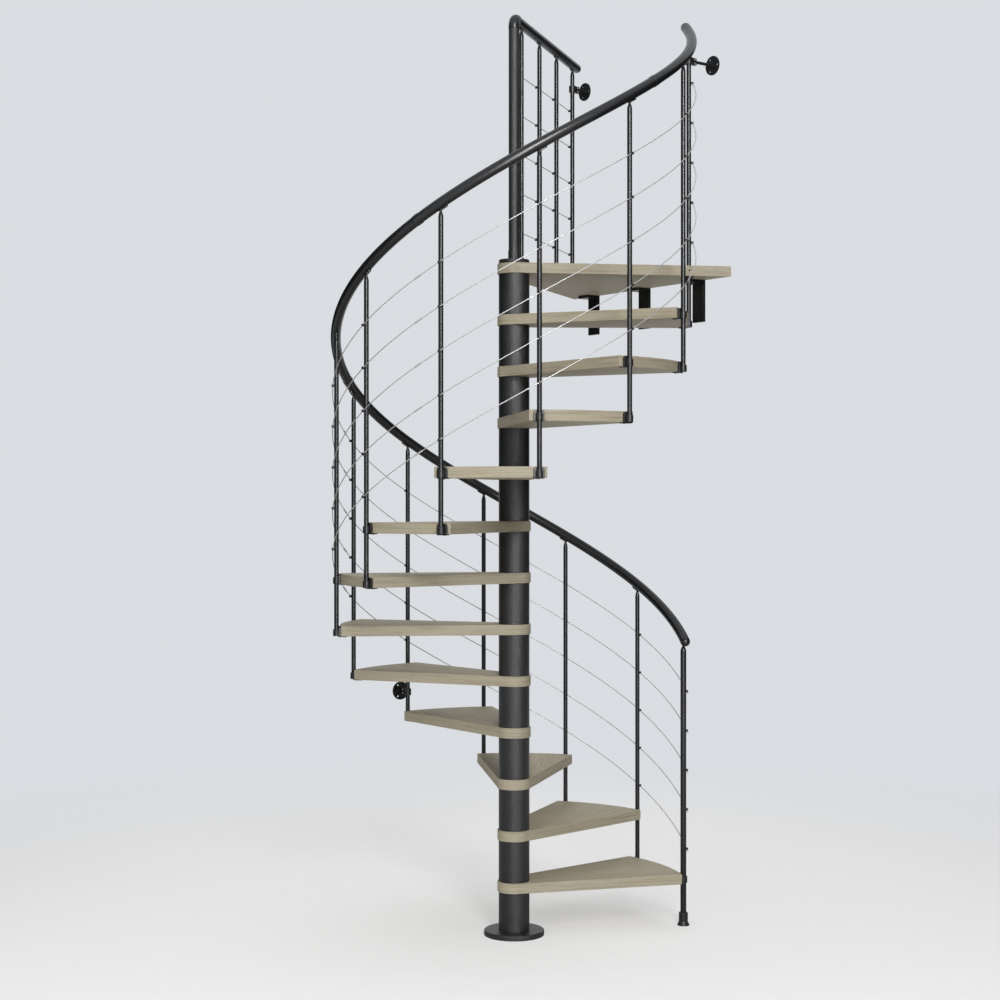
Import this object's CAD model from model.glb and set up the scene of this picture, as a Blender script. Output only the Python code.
import math
import bpy
import bmesh
import numpy as np
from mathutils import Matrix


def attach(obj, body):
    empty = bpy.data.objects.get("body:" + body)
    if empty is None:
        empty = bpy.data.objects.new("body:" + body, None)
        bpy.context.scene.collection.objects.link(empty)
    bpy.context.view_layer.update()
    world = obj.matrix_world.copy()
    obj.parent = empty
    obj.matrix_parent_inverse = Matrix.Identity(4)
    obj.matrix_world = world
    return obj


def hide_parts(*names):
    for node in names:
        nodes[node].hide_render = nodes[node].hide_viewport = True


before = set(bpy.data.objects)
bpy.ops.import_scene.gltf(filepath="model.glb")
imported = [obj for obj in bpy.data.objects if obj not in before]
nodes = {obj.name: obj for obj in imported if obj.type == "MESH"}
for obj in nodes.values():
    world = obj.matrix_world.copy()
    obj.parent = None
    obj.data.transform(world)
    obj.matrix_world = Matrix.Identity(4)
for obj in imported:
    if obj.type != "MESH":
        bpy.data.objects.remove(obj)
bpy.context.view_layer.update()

# The stair's main sizes in metres and degrees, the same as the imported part's
stair = {
    "riser": 0.222, "firstMore": 0.010, "turn": 29.42, "treads": 12,
    "treadRadius": 0.749, "treadThick": 0.044, "hubRadius": 0.072,
    "frontOver": 2.9, "backOver": 2.6,
    "lastPost": 58.9, "postRadius": 0.766, "post": 0.020, "startPost": 0.026,
    "rail": 0.043, "railRadius": 0.768, "railHeight": 1.033, "turnIn": 0.010, "turnInOver": 40.0,
    "railBefore": 1.6, "railPast": 2.1, "cableOut": 0.0155,
    "landingThick": 0.044, "nearEdge": 61.7, "landingRail": 124.4,
    "landingRailHeight": 1.063, "landingRailEnd": 0.934,
    "landingFirstPost": 0.100, "landingLastPost": 0.864, "landingPosts": 4,
}


def postAngle(k):
    return stair["lastPost"] + 360 - (stair["treads"] - k) * stair["turn"]


def treadTop(k):
    return stair["firstMore"] + k * stair["riser"]


def pitchHeight(angle):  # height of the stair's pitch line at a direction
    return treadTop((np.asarray(angle, float) - postAngle(0)) / stair["turn"] + 1)


landingTop = treadTop(stair["treads"] + 1)
landingRailZ = landingTop + stair["landingRailHeight"]
railStart = postAngle(0) - stair["railBefore"]
railEnd = postAngle(stair["treads"]) + stair["railPast"]
cableRadius = stair["postRadius"] + stair["cableOut"]
onAxis = (0.0, 0.0, 0.0)
landingPostPlaces = np.linspace(stair["landingFirstPost"], stair["landingLastPost"],
                                stair["landingPosts"])


def railSlope(radius):
    return math.atan2(stair["riser"], radius * math.radians(stair["turn"]))


def polar(angle, radius, z=0.0):  # a place from its direction, distance and height
    a = np.radians(np.asarray(angle, float))
    parts = np.broadcast_arrays(radius * np.cos(a), radius * np.sin(a), np.asarray(z, float))
    return np.stack(parts, -1)


def railRadiusAt(angle):  # the handrail's end curves in with the square of the way along
    over = np.maximum(0, (np.asarray(angle, float) - railEnd) / stair["turnInOver"] + 1)
    return stair["railRadius"] - stair["turnIn"] * over ** 2


def landingPoint(along, z, aside=0.0):  # a place on the line under the landing's rail
    a = math.radians(stair["landingRail"])
    along = np.asarray(along, float)
    parts = np.broadcast_arrays(along * math.cos(a) - aside * math.sin(a),
                                along * math.sin(a) + aside * math.cos(a), np.asarray(z, float))
    return np.stack(parts, -1)


def unit(vector):
    return vector / np.maximum(np.linalg.norm(vector, axis=-1, keepdims=True), 1e-12)


def axes(outward):  # three square directions: level outward, sideways and up
    up = np.array([0.0, 0.0, 1.0])
    level = unit(np.asarray(outward, float) - up * np.dot(outward, up))
    return np.stack([level, np.cross(up, level), up], 1)


def upended(turn):  # the same directions for a shape whose own up is to look outward
    return turn[:, [1, 2, 0]]


# Rows of rings make one closed skin. Each ring runs round to its own start, and the first and the
# last are single points. The corners keep how far they lie along the skin and round it, round as
# a share of a turn or as the lengths given.
def skin(rings, around=None):
    cols, count = rings.shape[1], len(rings) - 2
    gaps = np.linalg.norm(np.diff(rings, axis=0), axis=2).mean(1)
    along = np.concatenate([[0], np.cumsum(gaps)])
    around = np.arange(cols + 1) / cols if around is None else around
    i, j = [g.ravel() for g in np.meshgrid(np.arange(count - 1), np.arange(cols), indexing="ij")]
    k = (j + 1) % cols
    quads = np.stack([i * cols + j, i * cols + k, (i + 1) * cols + k, (i + 1) * cols + j], 1)
    low, high = along[i + 1], along[i + 2]
    quadUv = np.stack([low, around[j], low, around[j + 1], high, around[j + 1], high, around[j]], 1)
    j, every = np.arange(cols), np.ones(cols, int)
    k = (j + 1) % cols
    lowPole, highPole, lastRing = count * cols, count * cols + 1, (count - 1) * cols
    lowTris = np.stack([every * lowPole, k, j], 1)
    highTris = np.stack([every * highPole, lastRing + j, lastRing + k], 1)
    pole, ring = every * along[0], every * along[1]
    lowUv = np.stack([pole, around[j], ring, around[j + 1], ring, around[j]], 1)
    pole, ring = every * along[-1], every * along[-2]
    highUv = np.stack([pole, around[j], ring, around[j], ring, around[j + 1]], 1)
    return {"verts": np.concatenate([rings[1:-1].reshape(-1, 3), rings[0, :1], rings[-1, :1]]),
            "quads": quads, "quadUv": quadUv.reshape(-1, 4, 2),
            "tris": np.concatenate([lowTris, highTris]),
            "triUv": np.concatenate([lowUv, highUv]).reshape(-1, 3, 2)}


def roundedEnd(inset, depth, steps):  # a quarter of an oval from the full radius to its inset
    t = np.linspace(0, math.pi / 2, steps)
    return inset * (1 - np.cos(t)), depth * np.sin(t)


# A profile of radii and heights turned about an upright axis
def turned(profile, centre, sides):
    profile = np.asarray(profile, float)
    a = np.linspace(0, 2 * math.pi, sides, endpoint=False)
    r, z = profile[:, :1], profile[:, 1:]
    return skin(np.stack(np.broadcast_arrays(centre[0] + r * np.cos(a), centre[1] + r * np.sin(a),
                                             centre[2] + z), -1))


# A ring of the given radius carried along a path. Its first point looks sideways, and its two
# ends close with a quarter of an oval, given as how far it draws in and how far it stands out.
def tube(path, sideways, radius, ends, sides, steps=4):
    path = np.asarray(path, float)
    radius = np.broadcast_to(np.asarray(radius, float), (len(path),))
    way = unit(np.gradient(path, axis=0))
    u = np.broadcast_to(np.asarray(sideways, float), path.shape)
    u = unit(u - way * (u * way).sum(1, keepdims=True))
    v = np.cross(way, u)
    a = np.linspace(0, 2 * math.pi, sides, endpoint=False)[:, None]

    def ring(place, x, y, r):
        return place + r * (x * np.cos(a) + y * np.sin(a))

    rows = [ring(path[i], u[i], v[i], radius[i]) for i in range(len(path))]
    for at, sign in ((0, -1), (-1, 1)):
        inset, depth = roundedEnd(*ends[at], steps)
        extra = [ring(path[at] + sign * way[at] * depth[m], u[at], v[at],
                      max(radius[at] - inset[m], 0)) for m in range(1, steps)]
        if radius[at] - inset[-1] < 1e-6:  # a whole dome's last ring is the point itself
            extra.pop()
        extra.append(ring(path[at] + sign * way[at] * depth[-1], u[at], v[at], 0))
        rows = extra[::-1] + rows if at == 0 else rows + extra
    return skin(np.stack(rows))


# A line of corners, each drawn as a short curve: (1-t)^2 a + 2t(1-t) corner + t^2 b, where a and
# b lie one radius before and after the corner
def softened(corners, radius, closed=False, steps=5):
    p = np.asarray(corners, float)
    radius = np.broadcast_to(np.asarray(radius, float), (len(p),)).copy()
    if not closed:
        radius[[0, -1]] = 0
    before, after = np.roll(p, 1, 0) - p, np.roll(p, -1, 0) - p
    reach = np.minimum(radius, 0.49 * np.minimum(np.linalg.norm(before, axis=1),
                                                  np.linalg.norm(after, axis=1)))[:, None]
    a, b = p + unit(before) * reach, p + unit(after) * reach
    t = np.linspace(0, 1, steps)[None, :, None]
    line = a[:, None] * (1 - t) ** 2 + 2 * p[:, None] * t * (1 - t) + b[:, None] * t ** 2
    line = line.reshape(-1, p.shape[1])
    last = np.roll(line, 1, 0)
    if not closed:
        last[0] += 1
    return line[np.linalg.norm(line - last, axis=1) > 1e-7]


# A round drum from one height to another, with its two edges softened
def drum(radius, low, high, soft, centre, sides, steps=5):
    profile = [(0, low), (radius, low), (radius, high), (0, high)]
    return turned(softened(profile, soft, False, steps), centre, sides)


# A flat plate: the outline drawn in along its own normals over rounded arrises, closed at a
# middle point on both faces
def plate(shape, low, high, arris, steps=4):
    way = unit(np.roll(shape, -1, 0) - np.roll(shape, 1, 0))
    normal = np.stack([way[:, 1], -way[:, 0]], 1)
    inset, depth = roundedEnd(arris, arris, steps)
    middle = np.broadcast_to(shape.mean(0), shape.shape)

    def row(outline, z):
        return np.column_stack([outline, np.full(len(shape), z)])

    rows = [row(middle, low)]
    rows += [row(shape - normal * inset[m], low + arris - depth[m]) for m in range(steps)[::-1]]
    rows += [row(shape - normal * inset[m], high - arris + depth[m]) for m in range(steps)]
    rows.append(row(middle, high))
    lengths = np.linalg.norm(np.roll(shape, -1, 0) - shape, axis=1)
    return skin(np.stack(rows), np.concatenate([[0], np.cumsum(lengths)]))


def placed(shape, turn, at):  # the same skin turned by three directions and moved
    return dict(shape, verts=shape["verts"] @ np.asarray(turn, float).T + np.asarray(at, float))


# A piece on the stair's one body, in its slot and in place of the CAD nodes it stands for
def joinStair(name, mesh, stoodFor):
    piece = bpy.data.objects.new(name, mesh)
    bpy.context.scene.collection.objects.link(piece)
    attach(piece, "root")
    if stoodFor:
        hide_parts(*stoodFor)
    return piece


# One mesh from many skins. A vertex normal is the mean of its faces' normals, each counted by
# its area, so that large flat faces stay flat and rounded arrises run into them.
def makePiece(name, skins, finish, stoodFor=(), grain=None):
    verts, quads, tris, start = [], [], [], 0
    for shape in skins:
        verts.append(shape["verts"])
        quads.append(shape["quads"] + start)
        tris.append(shape["tris"] + start)
        start += len(shape["verts"])
    verts, quads, tris = np.concatenate(verts), np.concatenate(quads), np.concatenate(tris)
    uvs = np.concatenate([shape["quadUv"].reshape(-1, 2) for shape in skins]
                         + [shape["triUv"].reshape(-1, 2) for shape in skins])
    loops = np.concatenate([quads.ravel(), tris.ravel()])
    sizes = np.concatenate([np.full(len(quads), 4), np.full(len(tris), 3)])
    mesh = bpy.data.meshes.new(name)
    mesh.vertices.add(len(verts))
    mesh.vertices.foreach_set("co", verts.astype(np.float32).ravel())
    mesh.loops.add(len(loops))
    mesh.loops.foreach_set("vertex_index", loops.astype(np.int32))
    mesh.polygons.add(len(sizes))
    mesh.polygons.foreach_set("loop_start", (np.cumsum(sizes) - sizes).astype(np.int32))
    layer = mesh.uv_layers.new(name="lengths")
    layer.data.foreach_set("uv", uvs.astype(np.float32).ravel())
    mesh.update(calc_edges=True)
    mesh.validate()
    normals = np.zeros_like(verts)
    for faces, first in ((quads, verts[quads[:, 2]] - verts[quads[:, 0]]),
                         (tris, verts[tris[:, 1]] - verts[tris[:, 0]])):
        second = verts[faces[:, -1]] - verts[faces[:, 1 if faces.shape[1] == 4 else 0]]
        for corner in range(faces.shape[1]):
            np.add.at(normals, faces[:, corner], np.cross(first, second))
    mesh.polygons.foreach_set("use_smooth", np.ones(len(sizes), bool))
    mesh.normals_split_custom_set_from_vertices(unit(normals).astype(np.float32))
    mesh.materials.append(finish)
    if grain is not None:
        mesh.attributes.new("grain", "FLOAT_VECTOR", "POINT").data.foreach_set(
            "vector", grain.astype(np.float32).ravel())
    joinStair(name, mesh, stoodFor)


# A socket in a material. An expression on it adds the Math nodes.
class Wire:
    def __init__(self, paint, socket):
        self.paint, self.socket = paint, socket

    def math(self, operation, first, second):
        return self.paint.node("ShaderNodeMath", {"operation": operation}, {0: first, 1: second})

    def __add__(self, other):
        return self.math("ADD", self, other)

    def __sub__(self, other):
        return self.math("SUBTRACT", self, other)

    def __rsub__(self, other):
        return self.math("SUBTRACT", other, self)

    def __mul__(self, other):
        return self.math("MULTIPLY", self, other)

    __radd__ = __add__
    __rmul__ = __mul__

    def ramp(self, low, high, start=0.0, end=1.0):  # from low to high, smooth, held outside
        return self.paint.node("ShaderNodeMapRange",
                               {"interpolation_type": "SMOOTHSTEP", "clamp": True},
                               {"Value": self, "From Min": low, "From Max": high,
                                "To Min": start, "To Max": end})


# The nodes of one material, or of the world
class Paint:
    def __init__(self, owner):
        self.owner = owner
        owner.use_nodes = True
        self.tree = owner.node_tree
        self.tree.nodes.clear()

    def node(self, kind, settings=None, sockets=None, out=0):
        made = self.tree.nodes.new(kind)
        for key, value in (settings or {}).items():
            setattr(made, key, value)
        for key, value in (sockets or {}).items():
            if isinstance(value, Wire):
                self.tree.links.new(value.socket, made.inputs[key])
            elif isinstance(value, tuple) and made.inputs[key].type == "RGBA":
                made.inputs[key].default_value = (*value, 1.0)
            else:
                made.inputs[key].default_value = value
        return Wire(self, made.outputs[out])

    def place(self):  # where a point lies in the object
        return self.node("ShaderNodeTexCoord", None, None, "Object")

    def ray(self, kind):  # 1 on rays of one kind and 0 on all others
        return self.node("ShaderNodeLightPath", None, None, f"Is {kind} Ray")

    def part(self, vector, axis):  # one of a vector's three numbers
        return self.node("ShaderNodeSeparateXYZ", None, {0: vector}, axis)

    def scaled(self, vector, by, turn=0.0):
        return self.node("ShaderNodeMapping", None, {"Vector": vector, "Scale": by,
                                                     "Rotation": (0.0, 0.0, math.radians(turn))})

    def noise(self, vector, scale, detail, rough):
        return self.node("ShaderNodeTexNoise", None,
                         {"Vector": vector, "Scale": scale, "Detail": detail, "Roughness": rough})

    def blend(self, factor, low, high):  # one colour into another
        return self.node("ShaderNodeMix", {"data_type": "RGBA"}, {0: factor, 6: low, 7: high}, 2)

    def bump(self, height, distance):
        return self.node("ShaderNodeBump", None, {"Height": height, "Distance": distance})

    def principled(self, **sockets):
        return self.node("ShaderNodeBsdfPrincipled", None,
                         {key.replace("_", " "): value for key, value in sockets.items()})

    def output(self, surface, kind="ShaderNodeOutputMaterial"):
        end = self.tree.nodes.new(kind)
        self.tree.links.new(surface.socket, end.inputs["Surface"])
        return self.owner

    def finish(self, **sockets):
        return self.output(self.principled(**sockets))


def newPaint(name):
    return Paint(bpy.data.materials.new(name))


# Black coated metal: a fine leathery texture, faint changes of shade and gloss, and a little
# dust-grey where the coat is thin
coat = {"cloud": 6.0, "cloudBand": (0.3, 0.7), "fleck": 0.45, "fleckBand": (0.60, 0.72),
        "darker": 0.86, "paler": 1.16, "dust": 1.7, "dustShare": 0.30,
        "glossier": 0.05, "cloudRough": 0.10, "grainRough": 0.06}


def blackCoat(name, colour, rough, specular, grainSize, grainDepth):
    paint = newPaint(name)
    place = paint.place()
    grain = paint.noise(place, 1 / grainSize, 3.0, 0.6)
    cloud = paint.noise(place, coat["cloud"], 3.0, 0.55)
    fleck = paint.noise(place, coat["fleck"] / grainSize, 2.0, 0.6).ramp(*coat["fleckBand"])
    dark, pale, dust = [tuple(c * coat[key] for c in colour) for key in ("darker", "paler", "dust")]
    shade = paint.blend(cloud.ramp(*coat["cloudBand"]), dark, pale)
    shade = paint.blend(fleck * coat["dustShare"], shade, dust)
    rough = rough - coat["glossier"] + coat["cloudRough"] * cloud + coat["grainRough"] * grain
    return paint.finish(Base_Color=shade, Roughness=rough, Specular_IOR_Level=specular,
                        Normal=paint.bump(grain, grainDepth))


# Pale bleached oak. The grain vector runs along the fibres, across them and up, and on a tread's
# edge band it runs along the band. Rings and streaks are noise drawn out along the fibres, with
# fine dark pores between them.
oak = {"pale": (0.510, 0.464, 0.354), "middle": (0.468, 0.420, 0.314),
       "late": (0.335, 0.288, 0.202), "pore": (0.20, 0.165, 0.11),
       "ringScale": (1.1, 17.0, 15.0), "streakScale": (3.2, 150.0, 140.0),
       "fibreScale": (14.0, 520.0, 480.0), "poreScale": (38.0, 900.0, 800.0),
       "ringBand": (0.30, 0.70), "streakBand": (0.44, 0.70), "fibreBand": (0.45, 0.70),
       "poreBand": (0.60, 0.72), "edgeBand": (0.55, 0.8),
       "streakShare": 0.85, "fibreShare": 0.45, "poreShare": 0.4,
       "rough": 0.52, "fibreRough": 0.12, "specular": 0.25,
       "fibreRise": -0.6, "poreRise": 0.8, "poreDepth": 0.0002}


def bleachedOak(name, turn=None):
    paint = newPaint(name)
    place = paint.place()
    if turn is None:
        flat = paint.node("ShaderNodeAttribute", {"attribute_name": "grain"}, None, "Vector")
        up = paint.part(paint.node("ShaderNodeNewGeometry", None, None, "Normal"), 2)
        alongBand = paint.part(paint.node("ShaderNodeUVMap", {"uv_map": "lengths"}), 1)
        band = paint.node("ShaderNodeCombineXYZ", None,
                          {0: alongBand, 1: paint.part(place, 2), 2: 0.0})
        steep = paint.node("ShaderNodeMath", {"operation": "ABSOLUTE"}, {0: up})
        onEdge = steep.ramp(*oak["edgeBand"], 1.0, 0.0)
        grain = paint.node("ShaderNodeMix", {"data_type": "VECTOR"}, {0: onEdge, 4: flat, 5: band},
                           1)
    else:
        grain = paint.scaled(place, (1.0, 1.0, 1.0), -turn)
    rings = paint.noise(paint.scaled(grain, oak["ringScale"]), 1.0, 2.0, 0.5)
    streak = paint.noise(paint.scaled(grain, oak["streakScale"]), 1.0, 3.0, 0.6)
    fibre = paint.noise(paint.scaled(grain, oak["fibreScale"]), 1.0, 2.0, 0.6)
    pores = paint.noise(paint.scaled(grain, oak["poreScale"]), 1.0, 1.0, 0.5)
    pores = pores.ramp(*oak["poreBand"])
    wood = paint.blend(rings.ramp(*oak["ringBand"]), oak["middle"], oak["pale"])
    wood = paint.blend(streak.ramp(*oak["streakBand"]) * oak["streakShare"], wood, oak["late"])
    wood = paint.blend(fibre.ramp(*oak["fibreBand"]) * oak["fibreShare"], wood, oak["late"])
    wood = paint.blend(pores * oak["poreShare"], wood, oak["pore"])
    relief = paint.bump(fibre * oak["fibreRise"] - pores * oak["poreRise"], oak["poreDepth"])
    return paint.finish(Base_Color=wood, Roughness=oak["rough"] + oak["fibreRough"] * fibre,
                        Specular_IOR_Level=oak["specular"], Normal=relief)


# Stranded steel: the wires' lay is a slanting wave round and along the cable
strand = {"lay": 0.019, "wires": 6, "dark": (0.54, 0.545, 0.55), "pale": (0.70, 0.705, 0.71),
          "metallic": 0.45, "rough": 0.34, "waveRough": 0.06, "depth": 0.00006}


def strandedSteel(name):
    paint = newPaint(name)
    uv = paint.node("ShaderNodeUVMap", {"uv_map": "lengths"}, None, "UV")
    turns = (paint.part(uv, 0) * (strand["wires"] / strand["lay"])
             + paint.part(uv, 1) * float(strand["wires"]))
    wave = paint.node("ShaderNodeMath", {"operation": "SINE"}, {0: turns * (2 * math.pi)})
    shade = paint.blend(wave.ramp(-1.0, 1.0), strand["dark"], strand["pale"])
    return paint.finish(Base_Color=shade, Metallic=strand["metallic"],
                        Roughness=strand["rough"] + strand["waveRough"] * wave,
                        Normal=paint.bump(wave, strand["depth"]))


# Zinc-plated screws, with fine spots of two greys
zinc = {"dark": (0.48, 0.48, 0.47), "pale": (0.66, 0.66, 0.65), "spots": 900.0,
        "metallic": 0.9, "rough": 0.28, "spotRough": 0.15}


def plainSteel(name):
    paint = newPaint(name)
    spots = paint.noise(paint.place(), zinc["spots"], 2.0, 0.5)
    shade = paint.blend(spots.ramp(0.35, 0.65), zinc["dark"], zinc["pale"])
    return paint.finish(Base_Color=shade, Metallic=zinc["metallic"],
                        Roughness=zinc["rough"] + zinc["spotRough"] * spots)


columnBlack = blackCoat("columnBlack", (0.014, 0.0145, 0.0155), 0.33, 0.58, 0.0052, 0.0026)
balusterBlack = blackCoat("balusterBlack", (0.009, 0.0095, 0.0105), 0.24, 0.46, 0.0040, 0.00004)
fittingBlack = blackCoat("fittingBlack", (0.013, 0.0135, 0.014), 0.32, 0.45, 0.0014, 0.00008)
handrailBlack = blackCoat("handrailBlack", (0.010, 0.0105, 0.0115), 0.28, 0.55, 0.0011, 0.00004)
treadOak = bleachedOak("treadOak")
cableSteel = strandedSteel("cableSteel")
screwSteel = plainSteel("screwSteel")
print("finishes ready")


# The column: a base plate with a chamfered edge, a spacer under each tread, and a cap on top
column = {"radius": 0.0665, "base": 0.130, "baseThick": 0.022, "chamfer": 0.003, "baseSides": 128,
          "cap": 0.066, "capThick": 0.018, "arris": 0.0009, "capArris": 0.0018, "sides": 96}
chamferLow = column["baseThick"] - column["chamfer"]
chamferIn = column["base"] - column["chamfer"]
makePiece("basePlate", [turned(softened(
    [(0, 0), (column["base"], 0), (column["base"], chamferLow), (chamferIn, column["baseThick"]),
     (0, column["baseThick"])], column["arris"]), onAxis, column["baseSides"])],
    columnBlack, ["base_plate"])

spacerFeet = [column["baseThick"]] + [treadTop(k) for k in range(1, stair["treads"] + 1)]
makePiece("columnSpacers",
          [drum(column["radius"], foot, treadTop(k + 1) - stair["treadThick"], column["arris"],
                onAxis, column["sides"]) for k, foot in enumerate(spacerFeet)],
          columnBlack, ["column_spacers"])

capTop = landingTop + column["capThick"]
makePiece("columnCap", [drum(column["cap"], landingTop, capTop, column["capArris"], onAxis,
                             column["sides"])], columnBlack, ["column_cap"])
print("column ready")


# A tread: round the hub, along two straight sides that run off it, and round the outer arc.
# Each side lies sideInset inside the hub's tangent, which sets its angle to the tread's middle.
treadShape = {"sideInset": 0.002, "corner": 0.0022, "arris": 0.0015, "arcSteps": 36,
              "hubSteps": 40, "grainReach": 40}
sideOff = stair["hubRadius"] - treadShape["sideInset"]
sideSpread = math.degrees(math.acos(sideOff / stair["treadRadius"])
                          - math.acos(sideOff / stair["hubRadius"]))
frontTip = -(stair["turn"] / 2 + stair["frontOver"])
backTip = stair["turn"] / 2 + stair["backOver"]
arc = polar(np.linspace(frontTip, backTip, treadShape["arcSteps"]), stair["treadRadius"])[:, :2]
hubArc = polar(np.linspace(backTip + sideSpread, 360 + frontTip - sideSpread,
                           treadShape["hubSteps"]), stair["hubRadius"])[:, :2]
corners = np.concatenate([arc, hubArc])
cornerRadii = np.zeros(len(corners))
cornerRadii[[0, len(arc) - 1]] = treadShape["corner"]
treadSkin = plate(softened(corners, cornerRadii, True), -stair["treadThick"], 0.0,
                  treadShape["arris"])
grainReach = treadShape["grainReach"]
grainSeeds = np.random.default_rng(12).uniform(-grainReach, grainReach, (stair["treads"], 3))
for k in range(1, stair["treads"] + 1):
    turn = axes(polar(postAngle(k) - stair["turn"] / 2, 1.0))
    makePiece(f"tread{k:02d}", [placed(treadSkin, turn, (0, 0, treadTop(k)))], treadOak,
              [f"tread_{k:02d}"], treadSkin["verts"] + grainSeeds[k - 1])
print("treads ready")


# A copy of a CAD part with its edges rounded over and smooth curved faces. Triangles of one flat
# face join first, edges over the bend angle are rounded, and edges over the crease angle stay
# sharp in the shading.
copied = {"weld": 2e-5, "flat": 0.6, "bend": 42, "crease": 35, "segments": 2}


def refined(name, node, width, finish):
    mesh = nodes[node].data.copy()
    mesh.name = name
    shape = bmesh.new()
    shape.from_mesh(mesh)
    bmesh.ops.remove_doubles(shape, verts=shape.verts, dist=copied["weld"])
    bmesh.ops.dissolve_limit(shape, angle_limit=math.radians(copied["flat"]), verts=shape.verts,
                             edges=shape.edges, use_dissolve_boundaries=False)
    sharp = [edge for edge in shape.edges if len(edge.link_faces) == 2
             and edge.calc_face_angle(0) > math.radians(copied["bend"])]
    bmesh.ops.bevel(shape, geom=sharp, offset=width, segments=copied["segments"], profile=0.5,
                    affect="EDGES", clamp_overlap=True)
    bmesh.ops.recalc_face_normals(shape, faces=shape.faces)
    for face in shape.faces:
        face.smooth = True
    for edge in shape.edges:
        edge.smooth = (len(edge.link_faces) == 2
                       and edge.calc_face_angle(0) < math.radians(copied["crease"]))
    shape.to_mesh(mesh)
    shape.free()
    mesh.materials.clear()
    mesh.materials.append(finish)
    piece = joinStair(name, mesh, [node])
    piece.modifiers.new("evenShading", "WEIGHTED_NORMAL").keep_sharp = True


arrises = {"landing": 0.0013, "bracket": 0.0009, "anchor": 0.0008}
refined("cornerLanding", "landing", arrises["landing"],
        bleachedOak("landingOak", stair["nearEdge"]))
refined("landingBrackets", "landing_brackets", arrises["bracket"], fittingBlack)
print("landing ready")


# The newel post stands in a short sleeve, and an elbow turns it into the landing's handrail
newel = {"radius": 0.0235, "sleeve": 0.0255, "sleeveHigh": 0.042, "sleeveLip": 0.0006,
         "sides": 64, "bend": 0.032, "bendSteps": 19, "elbow": 0.024, "elbowSides": 48,
         "ringHigh": 0.012, "ring": 0.0245, "ringSoft": 0.0012,
         "soft": [0, 0.001, 0.0012, 0.0004, 0.001, 0]}
landingRail = {"butt": (0.0008, 0.0008), "end": (0.0005, 0.0005), "sides": 40, "steps": 12}
newelTop = landingRailZ - newel["bend"] - newel["ringHigh"]
sleeveTop = capTop + newel["sleeveHigh"]
makePiece("newelPost", [turned(softened(
    [(0, capTop), (newel["sleeve"], capTop), (newel["sleeve"], sleeveTop),
     (newel["radius"], sleeveTop + newel["sleeveLip"]), (newel["radius"], newelTop),
     (0, newelTop)], newel["soft"]), onAxis, newel["sides"])],
    columnBlack, ["newel_post"])

bend = np.radians(np.linspace(0, 90, newel["bendSteps"]))
elbowPath = landingPoint(newel["bend"] * (1 - np.cos(bend)),
                         landingRailZ - newel["bend"] * (1 - np.sin(bend)))
acrossLanding = landingPoint(0, 0, 1.0)
makePiece("newelElbow", [
    tube(elbowPath, acrossLanding, newel["elbow"], (landingRail["butt"], landingRail["butt"]),
         newel["elbowSides"]),
    drum(newel["ring"], newelTop, newelTop + newel["ringHigh"], newel["ringSoft"], onAxis,
         newel["sides"])], handrailBlack, ["newel_elbow"])

railRadius = stair["rail"] / 2
railAlong = np.linspace(newel["bend"] + landingRail["butt"][1], stair["landingRailEnd"],
                        landingRail["steps"])
makePiece("landingHandrail",
          [tube(landingPoint(railAlong, landingRailZ), acrossLanding, railRadius,
                (landingRail["butt"], landingRail["end"]), landingRail["sides"])],
          handrailBlack, ["landing_handrail"])


# The helical handrail: whole lengths and a shorter last one, each but the last ending in a lip
# that the next one plugs into. Gaps and lips are in degrees along the helix.
handrail = {"pieces": 5, "lengths": 4.65, "lip": 0.0016, "lipDegrees": 1.5, "gap": 0.045,
            "rise": 0.06, "clear": 0.1, "end": (0.0012, 0.0008), "sides": 40, "step": 1.6,
            "capInset": 0.0004, "capDome": 0.96, "capTurn": 0.06, "capLong": 0.001, "capSteps": 9}
pieceTurn = (railEnd - railStart) / handrail["lengths"]


def railPlace(angle, radius=None, over=stair["railHeight"]):
    radius = railRadiusAt(angle) if radius is None else radius
    return polar(angle, radius, pitchHeight(angle) + over)


for i in range(handrail["pieces"]):
    isLast = i == handrail["pieces"] - 1
    first = railStart + i * pieceTurn
    turnsTo = railEnd if isLast else first + pieceTurn - handrail["gap"]
    angles = np.linspace(first, turnsTo, int((turnsTo - first) / handrail["step"]) + 2)
    lip, rise = turnsTo - handrail["lipDegrees"], handrail["rise"]
    if isLast:
        radii = np.full(len(angles), railRadius)
    else:
        angles = np.concatenate([angles[angles < lip - handrail["clear"]],
                                 [lip - rise, lip, lip + rise, turnsTo]])
        radii = railRadius + handrail["lip"] * (angles > lip - rise / 2)
    makePiece(f"handrail{i + 1}", [tube(railPlace(angles), polar(angles, 1.0), radii,
                                        (handrail["end"], handrail["end"]), handrail["sides"])],
              handrailBlack, [f"handrail_{i + 1}"])


def railCap(path, sideways):  # a flat start inside the handrail and a dome that shows
    flat = (handrail["capInset"], handrail["capInset"])
    dome = (railRadius, railRadius * handrail["capDome"])
    return tube(path, sideways, railRadius - handrail["capInset"], (flat, dome),
                handrail["sides"], handrail["capSteps"])


caps = []
for start, sign in ((railStart, -1), (railEnd, 1)):
    angles = np.array([start, start + sign * handrail["capTurn"]])
    caps.append(railCap(railPlace(angles), polar(angles, 1.0)))
capAlong = [stair["landingRailEnd"], stair["landingRailEnd"] + handrail["capLong"]]
caps.append(railCap(landingPoint(capAlong, landingRailZ), acrossLanding))
makePiece("handrailEnds", caps, handrailBlack, ["handrail_end_caps"])
print("handrails ready")


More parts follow.
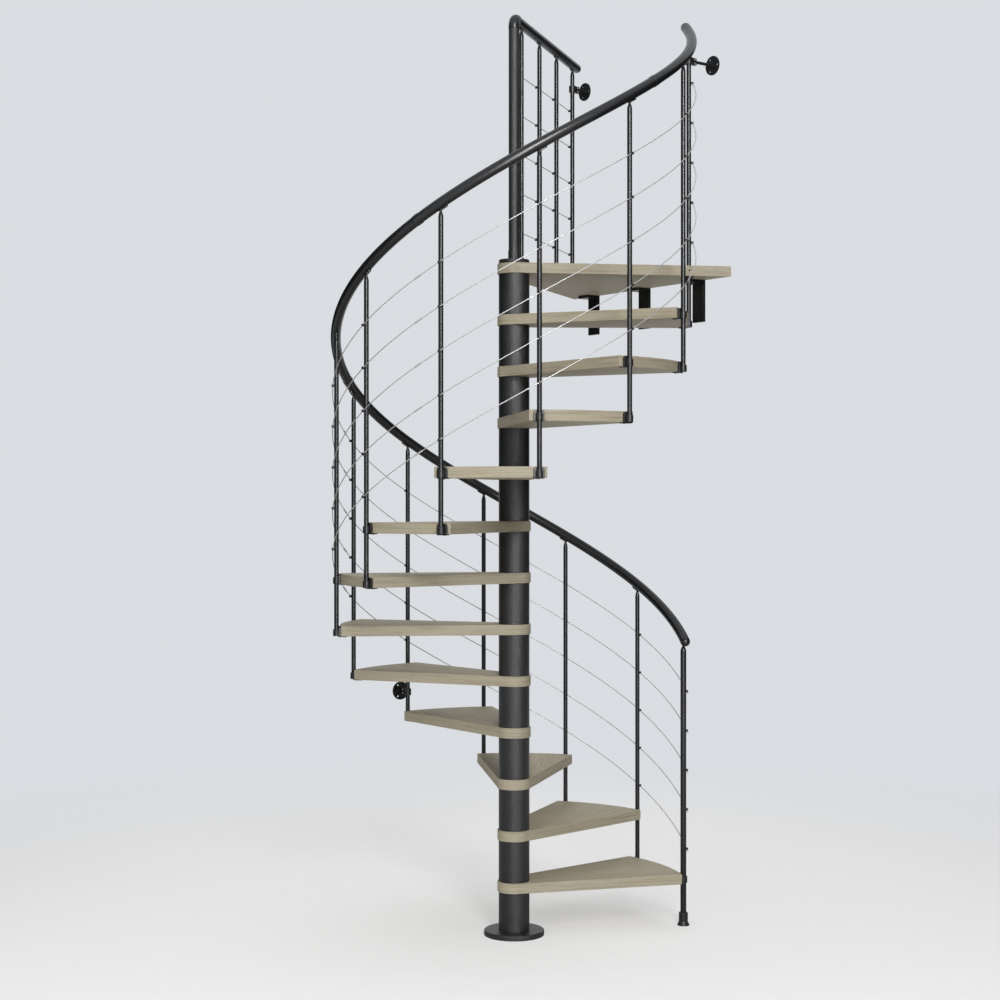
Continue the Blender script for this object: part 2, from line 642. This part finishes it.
# Balusters: thin tubes with a cap that draws in to the neck, and a thicker start post
baluster = {"taper": 0.015, "tip": 0.0058, "neck": 0.005, "neckLong": 0.005,
            "saddleUnder": 0.0258, "socket": 0.030, "sides": 28,
            "soft": [0, 0.0008, 0.009, 0.0025, 0]}
railTilt = railSlope(stair["railRadius"])
saddleDrop = baluster["saddleUnder"] / math.cos(railTilt) + baluster["neckLong"]


def post(radius, low, high, centre):
    shoulder = high - baluster["taper"]
    profile = [(0, low), (radius, low), (radius, shoulder), (baluster["tip"], high), (0, high)]
    return turned(softened(profile, baluster["soft"]), centre, baluster["sides"])


postAngles = [postAngle(k) for k in range(stair["treads"] + 1)]
postPlaces = polar(postAngles, stair["postRadius"])
postTops = pitchHeight(postAngles) + stair["railHeight"] - saddleDrop
startFoot = {"high": 0.057, "socket": 0.040, "top": 0.020, "bottom": 0.0265, "flare": 0.015,
             "gap": 0.00025, "sides": 48,
             "soft": [0, 0.001, 0.003, 0.005, 0.0018, 0.0006, 0.0006, 0]}
startLow = startFoot["high"] - startFoot["socket"]
makePiece("startPost", [post(stair["startPost"] / 2, startLow, postTops[0], postPlaces[0])],
          balusterBlack, ["start_post"])
makePiece("stairBalusters",
          [post(stair["post"] / 2, treadTop(k) - stair["treadThick"], postTops[k], postPlaces[k])
           for k in range(1, stair["treads"] + 1)],
          balusterBlack, ["stair_balusters"])
landingPostTop = landingRailZ - baluster["saddleUnder"] - baluster["neckLong"]
makePiece("landingBalusters",
          [post(stair["post"] / 2, landingTop - baluster["socket"], landingPostTop,
                landingPoint(place, 0.0)) for place in landingPostPlaces],
          balusterBlack, ["landing_balusters"])

socketRadius = stair["startPost"] / 2 + startFoot["gap"]
makePiece("startFoot", [turned(softened(
    [(0, 0), (startFoot["bottom"], 0), (startFoot["bottom"], startFoot["flare"] / 3),
     (startFoot["top"], startFoot["flare"]), (startFoot["top"], startFoot["high"]),
     (socketRadius, startFoot["high"]), (socketRadius, startLow), (0, startLow)],
    startFoot["soft"]), postPlaces[0], startFoot["sides"])],
    fittingBlack, ["start_foot"])
print("balusters ready")


# Saddles under the handrails: a rounded plate with two screws, square to the rail, so that on
# the stair it reaches up the slope from the baluster's neck
saddle = {"long": 0.042, "wide": 0.018, "thick": 0.004, "gap": 0.0003, "corner": 0.008,
          "arris": 0.0012, "screw": 0.0036, "screwOut": 0.0014, "screwIn": 0.0005,
          "screwSoft": 0.0009, "screwSides": 16, "screwsAt": (-0.002, 0.013),
          "neckSoft": 0.0006, "neckSides": 20}
halfWide, halfLong = saddle["wide"] / 2, saddle["long"] / 2
saddleOutline = softened([(-halfWide, -halfLong), (halfWide, -halfLong), (halfWide, halfLong),
                          (-halfWide, halfLong)], saddle["corner"], True, 7)
saddleTop = -(railRadius + saddle["gap"])
saddlePlate = plate(saddleOutline, saddleTop - saddle["thick"], saddleTop, saddle["arris"])
screwHeads = [drum(saddle["screw"], -saddle["screwOut"], saddle["screwIn"], saddle["screwSoft"],
                   (0, y, saddleTop - saddle["thick"]), saddle["screwSides"])
              for y in saddle["screwsAt"]]


def addSaddle(centre, outward, tilt, aside):
    flatAxes = axes(outward)
    c, n = math.cos(tilt), math.sin(tilt)
    tilted = flatAxes @ np.array([[1, 0, 0], [0, c, -n], [0, n, c]])
    at = np.asarray(centre) + flatAxes[:, 0] * aside
    drop = (railRadius + saddle["gap"] + saddle["thick"]) / c
    saddles.append(placed(saddlePlate, tilted, at))
    saddles.append(drum(baluster["neck"], -drop - baluster["neckLong"], saddle["thick"] / 2 - drop,
                        saddle["neckSoft"], centre, saddle["neckSides"]))
    saddleScrews.extend(placed(head, tilted, at) for head in screwHeads)


saddles, saddleScrews = [], []
for angle in postAngles:
    addSaddle(railPlace(angle, stair["postRadius"]), polar(angle, 1.0), railTilt,
              railRadiusAt(angle) - stair["postRadius"])
for place in landingPostPlaces:
    addSaddle(landingPoint(place, landingRailZ), -acrossLanding, 0.0, 0.0)
makePiece("railSaddles", saddles, fittingBlack, ["rail_saddles"])
makePiece("saddleScrews", saddleScrews, screwSteel)


# Collars that clamp a baluster to a tread's edge: a ring, a block with chamfered top corners,
# a rounded tab under the tread with its screw, and a grub screw in the ring
collar = {"ring": 0.0145, "ringHigh": 0.029, "ringSides": 28, "wide": 0.043, "chamfer": 0.009,
          "tab": 0.027, "tabThick": 0.004, "out": 0.017, "soft": 0.0016,
          "seat": 0.0025, "gap": 0.0003, "blockArris": 0.0012, "tabArris": 0.0008,
          "blockDrop": 0.001, "tabDrop": 0.0002,
          "blockSoft": [0.0015, 0.0015, 0.004, 0.004, 0.004, 0.004],
          "tabSoft": [0.010, 0.002, 0.002, 0.010]}
grub = {"radius": 0.0034, "high": 0.0010, "soft": 0.0005, "sides": 12, "sunk": 0.0004, "up": 0.012}
tabScrew = {"radius": 0.0042, "low": -0.0022, "high": 0.0006, "soft": 0.0012, "sides": 14,
            "share": 0.62}
halfBlock, chamferZ = collar["wide"] / 2, stair["treadThick"] - collar["chamfer"]
chamferX, blockTop = halfBlock - collar["chamfer"], stair["treadThick"] - collar["blockDrop"]
blockOutline = softened([(-halfBlock, 0), (halfBlock, 0), (halfBlock, chamferZ),
                         (chamferX, blockTop), (-chamferX, blockTop), (-halfBlock, chamferZ)],
                        collar["blockSoft"], True, 4)


def addCollar(angle, z, postSize):
    centre = polar(angle, stair["postRadius"], z)
    turn = axes(polar(angle, 1.0))
    ringRadius = collar["ring"] + (postSize - stair["post"]) / 2
    front, back = collar["seat"] - postSize / 2, -collar["out"] - collar["tab"]
    block = plate(blockOutline, -collar["out"] - collar["gap"], front, collar["blockArris"], 3)
    tabOutline = softened([(back, -halfBlock), (front, -halfBlock), (front, halfBlock),
                           (back, halfBlock)], collar["tabSoft"], True)
    tab = plate(tabOutline, -collar["tabThick"], -collar["tabDrop"], collar["tabArris"], 3)
    collars.extend([
        drum(ringRadius, 0, collar["ringHigh"], collar["soft"], centre, collar["ringSides"]),
        placed(block, upended(turn), centre), placed(tab, turn, centre)])
    grubAt = centre + turn[:, 0] * (ringRadius - grub["sunk"]) + turn[:, 2] * grub["up"]
    grubHead = drum(grub["radius"], 0, grub["high"], grub["soft"], onAxis, grub["sides"])
    tabHead = drum(tabScrew["radius"], tabScrew["low"], tabScrew["high"], tabScrew["soft"],
                   (-collar["out"] - collar["tab"] * tabScrew["share"], 0, -collar["tabThick"]),
                   tabScrew["sides"])
    collarScrews.extend([placed(grubHead, upended(turn), grubAt), placed(tabHead, turn, centre)])


collars, collarScrews = [], []
for k in range(1, stair["treads"] + 1):
    under = treadTop(k) - stair["treadThick"]
    addCollar(postAngle(k - 1), under, stair["startPost"] if k == 1 else stair["post"])
    addCollar(postAngle(k), under, stair["post"])
# The last baluster runs through the landing, in a round collar with a disc against its underside
lastCollar = {"long": 0.036, "disc": 0.0215, "discThick": 0.004, "sides": 32,
              "soft": [0, 0.0016, 0.002, 0.001, 0.0005, 0]}
lastCollarLow = landingTop - stair["landingThick"] - lastCollar["long"]
discLow = lastCollar["long"] - lastCollar["discThick"]
collars.append(turned(softened(
    [(0, 0), (collar["ring"], 0), (collar["ring"], discLow), (lastCollar["disc"], discLow),
     (lastCollar["disc"], lastCollar["long"]), (0, lastCollar["long"])], lastCollar["soft"]),
    postPlaces[-1] + (0, 0, lastCollarLow), lastCollar["sides"]))
makePiece("treadCollars", collars, fittingBlack, ["tread_collars"])
makePiece("collarScrews", collarScrews, fittingBlack)
print("fittings ready")


# Taut cables follow the stair outside the balusters, and straight along the landing. A crimped
# sleeve sits on each stair cable under each joint of the handrail but the last.
cables = {"radius": 0.002, "first": 0.104, "gap": 0.174, "count": 5, "past": 1.2, "steps": 260,
          "landingFirst": 0.157, "landingGap": 0.172, "landingPast": 0.016, "landingSteps": 14,
          "sides": 8, "end": (0.002, 0.0008), "sleeve": 0.0036, "sleeveDegrees": 2.4,
          "sleeveEnd": (0.001, 0.001), "sleeveSides": 12, "sleeveSteps": 5, "sleeves": 3}


def cable(path, sideways):
    return tube(path, sideways, cables["radius"], (cables["end"], cables["end"]),
                cables["sides"], 3)


cableAngles = np.linspace(postAngle(0) - cables["past"],
                          postAngle(stair["treads"]) + cables["past"], cables["steps"])
for i in range(cables["count"]):
    over = cables["first"] + i * cables["gap"]
    skins = [cable(railPlace(cableAngles, cableRadius, over), polar(cableAngles, 1.0))]
    for joint in range(1, cables["sleeves"] + 1):
        middle, half = railStart + joint * pieceTurn, cables["sleeveDegrees"] / 2
        covered = np.linspace(middle - half, middle + half, cables["sleeveSteps"])
        skins.append(tube(railPlace(covered, cableRadius, over), polar(covered, 1.0),
                          cables["sleeve"], (cables["sleeveEnd"], cables["sleeveEnd"]),
                          cables["sleeveSides"], 3))
    makePiece(f"stairCable{i + 1}", skins, cableSteel, [f"stair_cable_{i + 1}"])

cableAlong = np.linspace(stair["landingFirstPost"] - cables["landingPast"],
                         stair["landingLastPost"] + cables["landingPast"], cables["landingSteps"])
landingCableZ = (landingTop + cables["landingFirst"]
                 + np.arange(cables["count"]) * cables["landingGap"])
makePiece("landingCables",
          [cable(landingPoint(cableAlong, z, cableRadius - stair["postRadius"]), acrossLanding)
           for z in landingCableZ], cableSteel, ["landing_cables"])


# A clip holds each cable on each baluster: a short round button with a softened face
clip = {"radius": 0.006, "long": 0.011, "sunk": 0.0005, "soft": [0, 0.0003, 0.0016, 0],
        "sides": 12}


def button(postSize):
    return drum(clip["radius"], postSize / 2 - clip["sunk"], stair["post"] / 2 + clip["long"],
                clip["soft"], onAxis, clip["sides"], 3)


clips = []
for k, angle in enumerate(postAngles):
    shape = button(stair["startPost"] if k == 0 else stair["post"])
    for i in range(cables["count"]):
        at = railPlace(angle, stair["postRadius"], cables["first"] + i * cables["gap"])
        clips.append(placed(shape, upended(axes(polar(angle, 1.0))), at))
for place in landingPostPlaces:
    for z in landingCableZ:
        clips.append(placed(button(stair["post"]), upended(axes(acrossLanding)),
                            landingPoint(place, z)))
makePiece("cableClips", clips, fittingBlack, ["cable_clips"])
print("cables ready")


# Wall anchors: the clamp, arm and three-hole flange, and the bolts that close the clamp's ears.
# The first is over the fourth tread, and the heights are over that tread and the landing.
anchor = {"tread": 4, "lowOver": 0.086, "topOver": 0.897, "landingOver": 0.948,
          "lowWay": 180.0, "topWay": 90.0, "landingWay": 96.5}
earBolt = {"radius": 0.0045, "half": 0.0101, "soft": 0.0012, "sides": 16, "out": 0.031,
           "levels": (-0.0085, 0.0085)}
for name, node in (("lowWallAnchor", "low_wall_anchor"), ("topWallAnchor", "top_wall_anchor"),
                   ("landingWallAnchor", "landing_wall_anchor")):
    refined(name, node, arrises["anchor"], fittingBlack)

bolts = []
boltSkin = drum(earBolt["radius"], -earBolt["half"], earBolt["half"], earBolt["soft"], onAxis,
                earBolt["sides"])
for centre, way in (
        (postPlaces[anchor["tread"]] + (0, 0, treadTop(anchor["tread"]) + anchor["lowOver"]),
         anchor["lowWay"]),
        (postPlaces[-1] + (0, 0, landingTop + anchor["topOver"]), anchor["topWay"]),
        (landingPoint(stair["landingLastPost"], landingTop + anchor["landingOver"]),
         anchor["landingWay"])):
    turn = axes(polar(way, 1.0))
    for level in earBolt["levels"]:
        bolts.append(placed(boltSkin, upended(upended(turn)),
                            centre + turn[:, 0] * earBolt["out"] + turn[:, 2] * level))
makePiece("anchorBolts", bolts, screwSteel)
print("anchors ready")


# A pale floor that fades into the pale background further out. It glows a little where the
# camera sees it, and by its own amount on the light that it gives back to the stair.
ground = {"radius": 7.0, "sides": 96, "shade": 0.48, "speck": 0.985, "clear": 2.2, "gone": 5.2,
          "lift": 0.445, "bounce": 0.25}


def grey(shade):
    return (shade, shade, shade)


paint = newPaint("paleFloor")
away = paint.node("ShaderNodeVectorMath", {"operation": "LENGTH"}, {0: paint.place()}, "Value")
speck = paint.noise(paint.place(), 9.0, 3.0, 0.5)
tone = paint.blend(speck.ramp(0.35, 0.65), grey(ground["shade"] * ground["speck"]),
                   grey(ground["shade"]))
lift = paint.blend(paint.ray("Camera"), grey(0.0), grey(ground["lift"]))
lift = paint.blend(paint.ray("Diffuse"), lift, grey(ground["bounce"]))
surface = paint.principled(Base_Color=tone, Roughness=0.9, Specular_IOR_Level=0.1,
                           Emission_Color=lift, Emission_Strength=1.0)
faded = paint.node("ShaderNodeMixShader", None,
                   {0: away.ramp(ground["clear"], ground["gone"]), 1: surface,
                    2: paint.node("ShaderNodeBsdfTransparent")})
floorPaint = paint.output(faded)


# A flat face that is part of the stage
def stagePanel(name, corners, finish):
    mesh = bpy.data.meshes.new(name)
    mesh.from_pydata(corners.tolist(), [], [list(range(len(corners)))])
    mesh.materials.append(finish)
    panel = bpy.data.objects.new(name, mesh)
    bpy.context.scene.collection.objects.link(panel)
    return panel


rim = np.linspace(0, 360, ground["sides"], endpoint=False)
stagePanel("floor", polar(rim, ground["radius"]), floorPaint)

# The studio round it is one plain shade where it is seen or mirrored. As fill light it comes
# mostly from above and below: side + rest times the fourth power of the direction's height.
studio = {"seen": (0.70, 0.72, 0.75), "side": 0.06, "rest": 1.74}
paint = Paint(bpy.data.worlds.new("studio"))
height = paint.part(paint.node("ShaderNodeTexCoord", None, None, "Generated"), 2)
square = height * height
fill = studio["side"] + square * square * studio["rest"]
shown = paint.ray("Camera")
for kind in ("Glossy", "Transmission"):
    shown = paint.node("ShaderNodeMath", {"operation": "MAXIMUM"}, {0: shown, 1: paint.ray(kind)})
fillGrey = paint.node("ShaderNodeCombineColor", None, {0: fill, 1: fill, 2: fill})
glow = paint.node("ShaderNodeBackground", None,
                  {"Color": paint.blend(shown, fillGrey, studio["seen"])})
bpy.context.scene.world = paint.output(glow, "ShaderNodeOutputWorld")

# The camera stands level, at a standing eye's height. Its place is given before the view's turn.
view = {"turn": 53.7, "place": (-0.0609, -7.583, 1.877), "lens": 63.13, "sensor": 36.0}

# Three soft lamps in front: how far each turns from the view, its height, distance, size and
# power, all aimed at one height. The fill lights without gloss, and the strip gives only the
# upright highlights on the black parts.
lamps = {"key": {"turn": 12, "high": 5.6, "wide": 1.7, "tall": 3.4, "power": 378.0},
         "fill": {"turn": -32, "high": 2.3, "wide": 4.4, "tall": 3.6, "power": 160.0},
         "strip": {"turn": 11, "high": 3.2, "wide": 0.8, "tall": 6.4, "power": 440.0}}
lampSetting = {"far": 8.0, "aim": 1.9, "colour": (1.0, 0.99, 0.975)}
for name, lamp in lamps.items():
    light = bpy.data.lights.new(name, "AREA")
    light.shape = "RECTANGLE"
    light.size, light.size_y, light.energy = lamp["wide"], lamp["tall"], lamp["power"]
    light.color = lampSetting["colour"]
    stand = bpy.data.objects.new(name, light)
    stand.location = polar(view["turn"] - 90 + lamp["turn"], lampSetting["far"], lamp["high"])
    down = math.atan2(lamp["high"] - lampSetting["aim"], lampSetting["far"])
    stand.rotation_euler = (math.pi / 2 - down, 0.0, math.radians(view["turn"] + lamp["turn"]))
    stand.visible_camera = False
    stand.visible_glossy = name != "fill"
    stand.visible_diffuse = name != "strip"
    bpy.context.scene.collection.objects.link(stand)

# Two dark flags stand beside the stair and darken the edges of its black parts. The camera
# doesn't see them.
flag = {"aside": 3.6, "near": -2.2, "far": 6.5, "low": 0.6, "high": 5.5, "shade": 0.02,
        "paler": 1.4, "weave": 60.0}
paint = newPaint("flagCloth")
weave = paint.noise(paint.place(), flag["weave"], 2.0, 0.5)
flagCloth = paint.finish(Base_Color=paint.blend(weave, grey(flag["shade"]),
                                                grey(flag["shade"] * flag["paler"])),
                         Roughness=0.9, Specular_IOR_Level=0.0)
viewTurn = math.radians(view["turn"])
c, n = math.cos(viewTurn), math.sin(viewTurn)
turnWithView = np.array([[c, n, 0], [-n, c, 0], [0, 0, 1]])
for side, name in ((-1, "flagLeft"), (1, "flagRight")):
    across = side * flag["aside"]
    spots = np.array([(across, flag["near"], flag["low"]), (across, flag["far"], flag["low"]),
                      (across, flag["far"], flag["high"]), (across, flag["near"], flag["high"])])
    stagePanel(name, spots @ turnWithView, flagCloth).visible_camera = False

lens = bpy.data.cameras.new("camera")
lens.lens, lens.sensor_width = view["lens"], view["sensor"]
camera = bpy.data.objects.new("camera", lens)
camera.location = np.array(view["place"]) @ turnWithView
camera.rotation_euler = (math.pi / 2, 0.0, viewTurn)
bpy.context.scene.collection.objects.link(camera)
bpy.context.scene.camera = camera
bpy.context.scene.view_settings.view_transform = "Standard"

print("scene ready")
